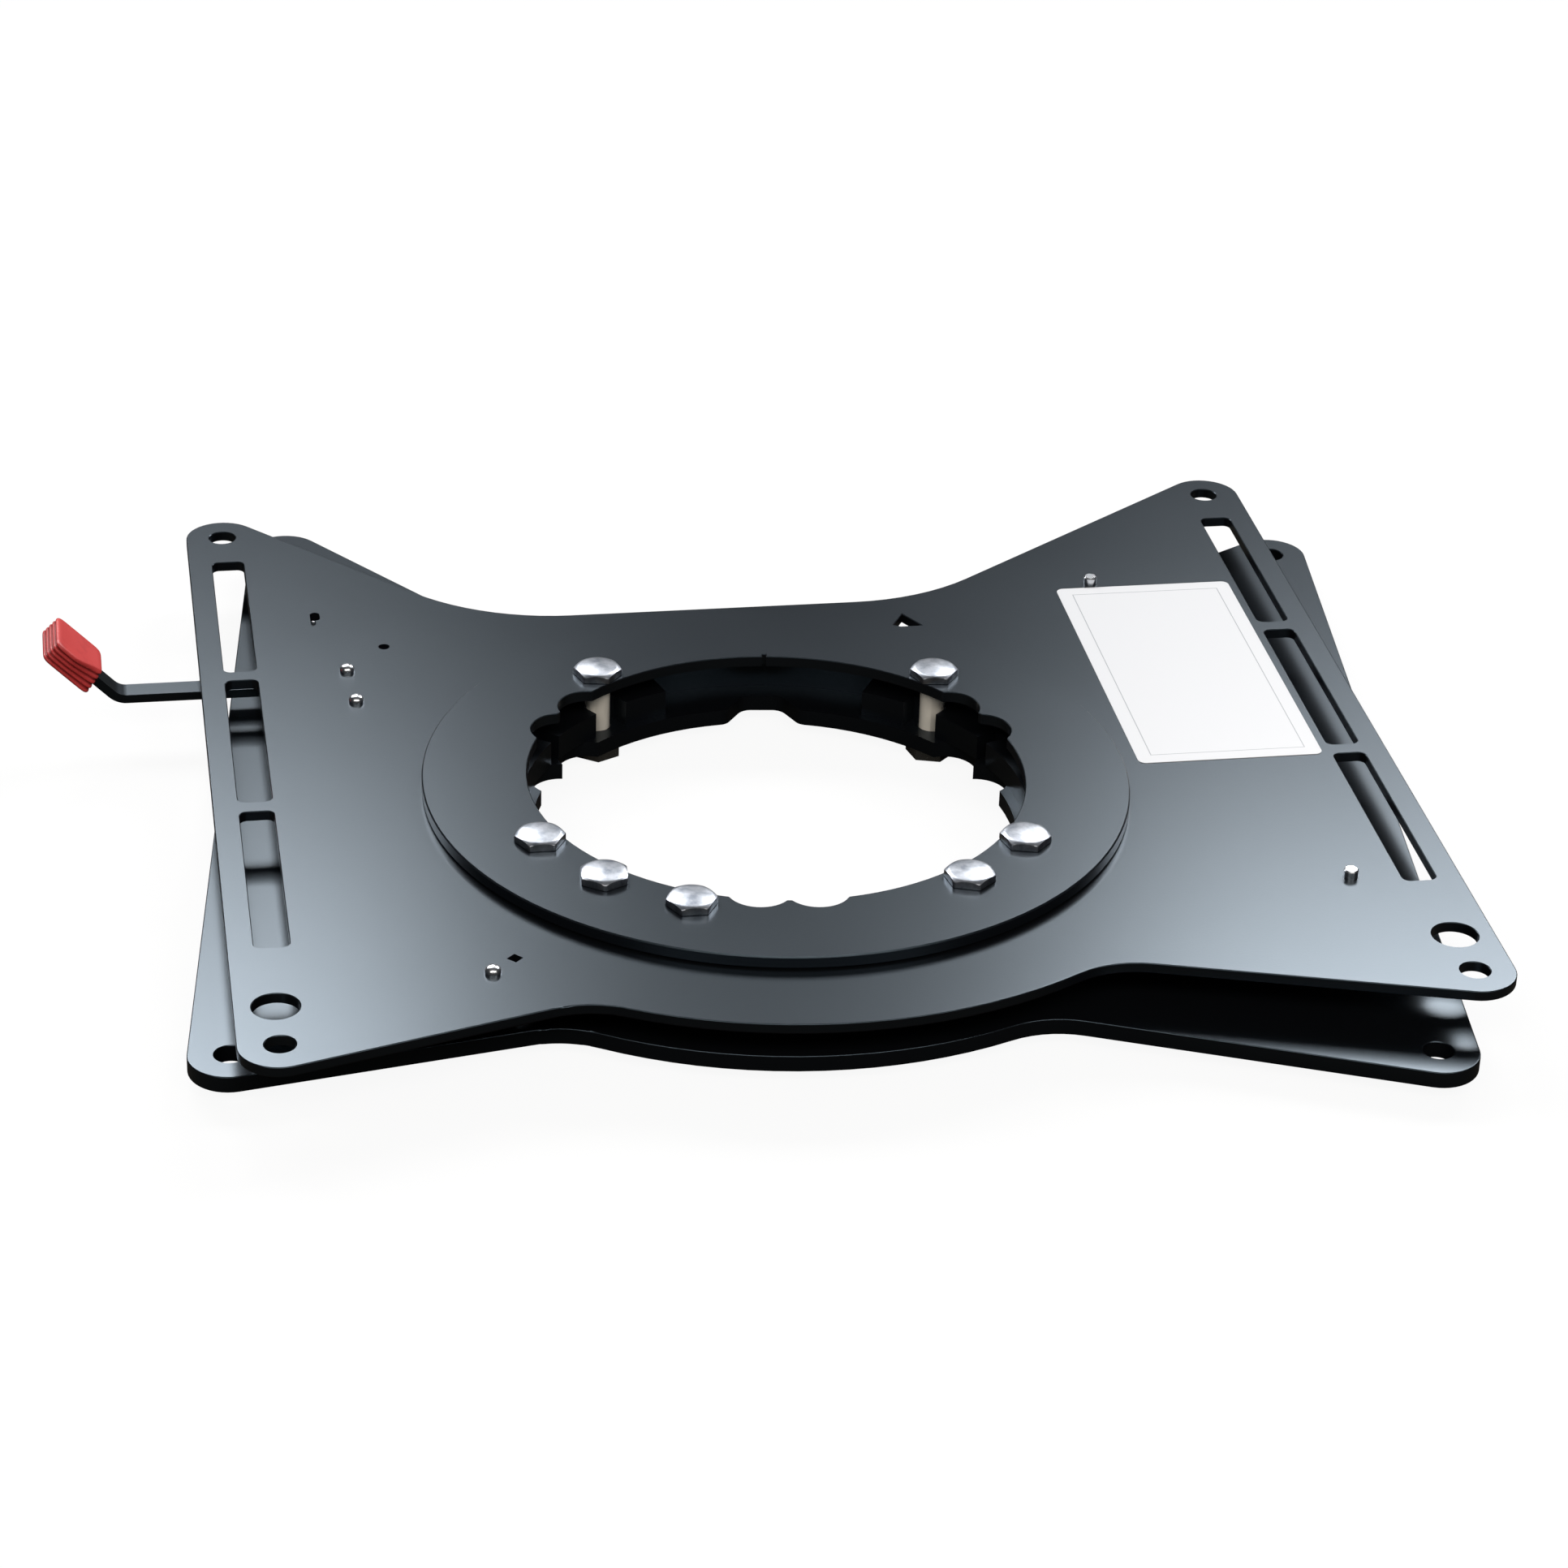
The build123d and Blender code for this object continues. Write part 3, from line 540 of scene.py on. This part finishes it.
def label_film(name, colour):
    """White vinyl label, printed: satin film with a thin grey frame line set in from its edge."""
    material, tree, shader = new_material(name)
    place = add(tree, "ShaderNodeTexCoord").outputs["Object"]
    # Bring the label's middle to the origin and turn its sides square to the axes
    middle = turned(np.append(LABEL_CORNER + LABEL_SIDES / 2, 0.0))
    moved = add(tree, "ShaderNodeVectorMath", {"operation": "SUBTRACT"}, n0=place, n1=tuple(middle))
    square = add(tree, "ShaderNodeVectorRotate", {"rotation_type": "Z_AXIS"}, Vector=moved.outputs[0],
                 Angle=-float(REST_TURN))
    away = add(tree, "ShaderNodeVectorMath", {"operation": "ABSOLUTE"}, n0=square.outputs[0])
    split = add(tree, "ShaderNodeSeparateXYZ", Vector=away.outputs[0])
    # Distance outside a rectangle set in from the label's edge, and a 0.4 mm line on it
    half_x, half_y = ((LABEL_SIDES / 2 - LABEL_MARGIN) * MM).tolist()
    over_x = add(tree, "ShaderNodeMath", {"operation": "SUBTRACT"}, n0=split.outputs[0], n1=half_x)
    over_y = add(tree, "ShaderNodeMath", {"operation": "SUBTRACT"}, n0=split.outputs[1], n1=half_y)
    edge = add(tree, "ShaderNodeMath", {"operation": "MAXIMUM"}, n0=over_x.outputs[0], n1=over_y.outputs[0])
    line = add(tree, "ShaderNodeMath", {"operation": "COMPARE"}, n0=edge.outputs[0], n1=0.0, n2=0.2 * MM)
    mix = add(tree, "ShaderNodeMix", {"data_type": "RGBA"}, Factor=line.outputs[0])
    mix.inputs[6].default_value = shown(colour)
    mix.inputs[7].default_value = linear("#9a9da2")
    tree.links.new(mix.outputs[2], shader.inputs["Base Color"])
    fibre = add(tree, "ShaderNodeTexNoise", Vector=place, Scale=1 / (3 * MM), Detail=3.0)
    bump = add(tree, "ShaderNodeBump", Strength=0.08, Distance=0.05 * MM, Height=fibre.outputs["Fac"])
    tree.links.new(bump.outputs["Normal"], shader.inputs["Normal"])
    shader.inputs["Roughness"].default_value = 0.38
    return material


def spring_points(sizes):
    """Wire surface: a helix between the hooks, x along the spring and angle in step with x.

    The hook wires run straight on from the helix and bend down to the bar and up to the plate.
    """
    span = np.linalg.norm(SPRING_PLATE_END - SPRING_LEVER_END)
    along = (SPRING_PLATE_END - SPRING_LEVER_END) / span
    hook = 3.0
    first, last = LEVER_BAR_WIDTH / 2 + hook, span - hook
    mean = sizes.radius - sizes.wire
    steps = sizes.coils * 24
    turn = np.linspace(0, 2 * np.pi * sizes.coils, steps)
    helix_x = np.linspace(first + 0.6, last - 0.6, steps)
    helix = np.stack([helix_x, mean * np.sin(turn), mean * np.cos(turn)], axis=-1)
    lead_in = np.array([[0, 0, -2.4], [0, 0, -0.6], [0, 0, mean - 1.6], [0.15, 0, mean - 0.8],
                        [0.6, 0, mean - 0.25], [1.3, 0, mean], [first * 0.4, 0, mean],
                        [first * 0.7, 0, mean], [first, 0, mean]])
    top = SPRING_TOP - SPRING_LEVEL
    lead_out = np.array([[last, 0, mean], [span - 1.6, 0, mean], [span - 0.7, 0, mean + 0.2],
                         [span - 0.2, 0, mean + 0.7], [span, 0, mean + 1.6], [span, 0, top - 1.0],
                         [span, 0, top]])
    local = np.concatenate([lead_in, helix, lead_out])
    across = np.array([-along[1], along[0]])
    plan = SPRING_LEVER_END + local[:, :1] * along + local[:, 1:2] * across
    path = np.concatenate([plan, local[:, 2:] + SPRING_LEVEL], axis=1)
    return turned(tube_along(path, sizes.wire, 10))


def grip_points(sizes):
    """Grip surface and its shade: outlines on which the ninth powers of x and y over the half sides add up to 1.

    They are drawn in at the grooves, each a bell curve of the height, and at both rims by a quarter circle. At
    the bar's end the front half narrows with height, so the upper face is a tongue with an S-shaped front
    edge. The faces are closed by shrinking outlines.
    """
    power, groove_width, bar_end = 9, 0.38, 0.65
    angle = np.linspace(0, 2 * np.pi, 160, endpoint=False)
    reach = (np.abs(np.cos(angle)) ** power + np.abs(np.sin(angle)) ** power) ** (-1 / power)
    unit_x, unit_y = reach * np.cos(angle), reach * np.sin(angle)
    height = np.linspace(-GRIP_THICK / 2, GRIP_THICK / 2, 90)
    inset = np.zeros_like(height)
    for i in range(sizes.ribs):
        level = (i + 0.5 - sizes.ribs / 2) * GRIP_THICK / (sizes.ribs + 1)
        inset += sizes.groove * np.exp(-((height - level) / groove_width) ** 2)
    shade = inset / max(sizes.groove, 0.001)
    near_rim = np.clip((np.abs(height) - (GRIP_THICK / 2 - GRIP_RIM)) / GRIP_RIM, 0, 1)
    inset += GRIP_RIM * (1 - np.sqrt(1 - near_rim ** 2))
    x = unit_x[None] * (GRIP_LENGTH / 2 - inset[:, None])
    y = unit_y[None] * (GRIP_WIDTH / 2 - inset[:, None])
    # The front draws back over the share of the length that is nearest the bar, more with height, and the
    # back swells by 0.6 mm
    rise = ((height + GRIP_THICK / 2) / GRIP_THICK)[:, None]
    far = np.clip((x / GRIP_LENGTH + 0.5 - (1 - bar_end)) / bar_end, 0, 1)
    drawn = sizes.slant * rise ** 1.2 * far ** 2 * (3 - 2 * far) / (GRIP_WIDTH / 2)
    y = np.where(y < 0, y * (1 - drawn), y * (1 + 1.2 / GRIP_WIDTH))
    body = np.stack([x, y, np.broadcast_to(height[:, None], x.shape)], axis=-1)
    shrink = np.array([0.85, 0.65, 0.45, 0.25, 0.02])
    lower = np.stack([body[0] * [k, k, 1] for k in shrink[::-1]])
    middle = np.array([body[-1, :, 0].mean(), body[-1, :, 1].mean(), 0.0])
    upper = np.stack([(body[-1] - middle) * [k, k, 1] + middle - [0, 0, sizes.dish * (1 - k ** 2)]
                      for k in shrink])
    local = np.concatenate([lower, body, upper])
    # Tilted with the cranked end of the lever, about the grip's middle
    c, s = np.cos(GRIP_TILT), np.sin(GRIP_TILT)
    x, y, z = local[..., 0], local[..., 1], local[..., 2]
    tilted = np.stack([x * c + z * s, y, -x * s + z * c], axis=-1)
    ends = np.zeros(len(shrink))
    return turned(tilted + GRIP_MIDDLE), np.concatenate([ends, shade, ends])


def studio(scene, sizes):
    """Pale floor, two wide lamps behind the part, one above, one on the camera's side, and the camera."""
    floor_mesh = bpy.data.meshes.new("studio_floor")
    reach = 6.0
    # Just under the bolt tails
    low = -6.1 * MM
    corners = [(-reach, -reach, low), (reach, -reach, low), (reach, reach, low), (-reach, reach, low)]
    floor_mesh.from_pydata(corners, [], [(0, 1, 2, 3)])
    floor = bpy.data.objects.new("studio_floor", floor_mesh)
    scene.collection.objects.link(floor)
    paint = bpy.data.materials.new("Studio floor pale")
    paint.use_nodes = True
    tree = paint.node_tree
    tree.nodes.clear()
    output = tree.nodes.new("ShaderNodeOutputMaterial")
    lit = add(tree, "ShaderNodeBsdfDiffuse", Color=linear("#f4f4f4"))
    dull = add(tree, "ShaderNodeBsdfDiffuse", Color=linear("#36332e"))
    glow = add(tree, "ShaderNodeEmission", Color=(1, 1, 1, 1), Strength=1.0)
    white = add(tree, "ShaderNodeMixShader", Fac=0.92, n1=lit.outputs[0], n2=glow.outputs[0])
    seen = add(tree, "ShaderNodeLightPath")
    floor_mix = add(tree, "ShaderNodeMixShader", Fac=seen.outputs["Is Camera Ray"], n1=dull.outputs[0],
                    n2=white.outputs[0])
    tree.links.new(floor_mix.outputs[0], output.inputs[0])
    floor_mesh.materials.append(paint)

    world = bpy.data.worlds.new("Studio")
    scene.world = world
    world.use_nodes = True
    tree = world.node_tree
    tree.nodes.clear()
    output = tree.nodes.new("ShaderNodeOutputWorld")
    seen = add(tree, "ShaderNodeLightPath")
    soft = add(tree, "ShaderNodeBackground", Color=linear("#f2f4f7"), Strength=0.20)
    dark = add(tree, "ShaderNodeBackground", Color=linear("#c8cdd6"), Strength=0.05)
    white = add(tree, "ShaderNodeBackground", Color=(1, 1, 1, 1), Strength=1.0)
    glossy = add(tree, "ShaderNodeMixShader", Fac=seen.outputs["Is Glossy Ray"], n1=soft.outputs[0],
                 n2=dark.outputs[0])
    back = add(tree, "ShaderNodeMixShader", Fac=seen.outputs["Is Camera Ray"], n1=glossy.outputs[0],
               n2=white.outputs[0])
    tree.links.new(back.outputs[0], output.inputs[0])

    # Two wide lamps hang in one plane behind the part. The dark stripe in its middle is the gap between them
    for name, x in (("lamp_left", -0.90), ("lamp_right", 1.07)):
        lamp(name, place=(x, 1.5, 1.45), aim=(x, 0.0, 1.45), width=1.4, height=0.8,
             power=sizes.side_power, colour="#ffffff")
    lamp("lamp_front", place=(0.1, -1.70, 1.70), aim=(0.0, 0.0, 0.02), width=3.2, height=0.7,
         power=sizes.front_power, colour="#fffaf2")
    lamp("lamp_top", place=(0.0, -0.6, 1.9), aim=(0.0, 0.0, 0.0), width=1.6, height=1.2,
         power=sizes.top_power, colour="#ffffff")

    data = bpy.data.cameras.new("photo_camera")
    data.lens = sizes.lens
    data.sensor_width = 36.0
    data.sensor_fit = "HORIZONTAL"
    data.clip_start, data.clip_end = 0.05, 50.0
    camera = bpy.data.objects.new("photo_camera", data)
    camera.matrix_world = camera_matrix()
    scene.collection.objects.link(camera)
    scene.camera = camera
    scene.view_settings.view_transform = "Standard"


def lamp(name, place, aim, width, height, power, colour):
    """Rectangular soft lamp at a place, facing a point."""
    data = bpy.data.lights.new(name, "AREA")
    data.shape = "RECTANGLE"
    data.size, data.size_y = width, height
    data.energy = power
    data.color = linear(colour)[:3]
    light = bpy.data.objects.new(name, data)
    away = np.array(place, float) - np.array(aim, float)
    away /= np.linalg.norm(away)
    side = np.cross([0, 0, 1.0], away)
    side /= np.linalg.norm(side)
    up = np.cross(away, side)
    matrix = np.eye(4)
    matrix[:3, 0], matrix[:3, 1], matrix[:3, 2], matrix[:3, 3] = side, up, away, place
    light.matrix_world = Matrix(matrix.tolist())
    bpy.context.scene.collection.objects.link(light)


def camera_matrix():
    """Camera at the place, tilt, turn and roll that the ring's circle and the hole patterns give."""
    tilt, turn, roll = np.radians(29.217), np.radians(3.98), -0.0345456
    spin = np.array([[np.cos(turn), np.sin(turn), 0], [-np.sin(turn), np.cos(turn), 0], [0, 0, 1]])
    ahead = spin @ np.array([0, np.cos(tilt), -np.sin(tilt)])
    right = spin @ np.array([1.0, 0, 0])
    down = np.cross(ahead, right)
    across = np.cos(roll) * right + np.sin(roll) * down
    below = -np.sin(roll) * right + np.cos(roll) * down
    # The place is in ring radii, from the middle of the clamp ring's top
    place = spin @ (np.array([0.0229, -10.673, 5.9312]) * RING_RADIUS) + np.array([*AXIS, RING_TOP])
    matrix = np.eye(4)
    matrix[:3, 0], matrix[:3, 1], matrix[:3, 2], matrix[:3, 3] = across, -below, -ahead, place
    return Matrix(matrix.tolist())


class SWIVEL_PT_panel(bpy.types.Panel):
    """Sidebar panel with the swivel seat base's sizes, colours and steps"""
    bl_idname = "SWIVEL_PT_panel"
    bl_label = "Swivel Seat Base"
    bl_space_type = "VIEW_3D"
    bl_region_type = "UI"
    bl_category = "Swivel Seat"

    def draw(self, context):
        scene = context.scene
        for title, group in (("Finish", scene.swivel_finish), ("Ring bolts", scene.swivel_bolts),
                             ("Return spring", scene.swivel_spring), ("Grip", scene.swivel_grip),
                             ("Studio", scene.swivel_studio)):
            box = self.layout.box()
            box.label(text=title)
            for key in group.__annotations__:
                box.prop(group, key)
        for step in STEPS:
            self.layout.operator(step.bl_idname)


GROUPS = (FinishSettings, BoltSettings, SpringSettings, GripSettings, StudioSettings)
STEPS = (SWIVEL_OT_finish_steel, SWIVEL_OT_finish_hardware, SWIVEL_OT_finish_slides, SWIVEL_OT_finish_label,
         SWIVEL_OT_lever_grip, SWIVEL_OT_ring_bolts, SWIVEL_OT_return_spring, SWIVEL_OT_stage)


def register():
    for cls in GROUPS + STEPS + (SWIVEL_PT_panel,):
        bpy.utils.register_class(cls)
    bpy.types.Scene.swivel_finish = PointerProperty(type=FinishSettings)
    bpy.types.Scene.swivel_bolts = PointerProperty(type=BoltSettings)
    bpy.types.Scene.swivel_spring = PointerProperty(type=SpringSettings)
    bpy.types.Scene.swivel_grip = PointerProperty(type=GripSettings)
    bpy.types.Scene.swivel_studio = PointerProperty(type=StudioSettings)


def unregister():
    for name in ("swivel_studio", "swivel_grip", "swivel_spring", "swivel_bolts", "swivel_finish"):
        delattr(bpy.types.Scene, name)
    for cls in reversed(GROUPS + STEPS + (SWIVEL_PT_panel,)):
        bpy.utils.unregister_class(cls)


def main():
    register()
    for step in STEPS:
        group, name = step.bl_idname.split(".")
        getattr(getattr(bpy.ops, group), name)()


if __name__ == "__main__":
    main()
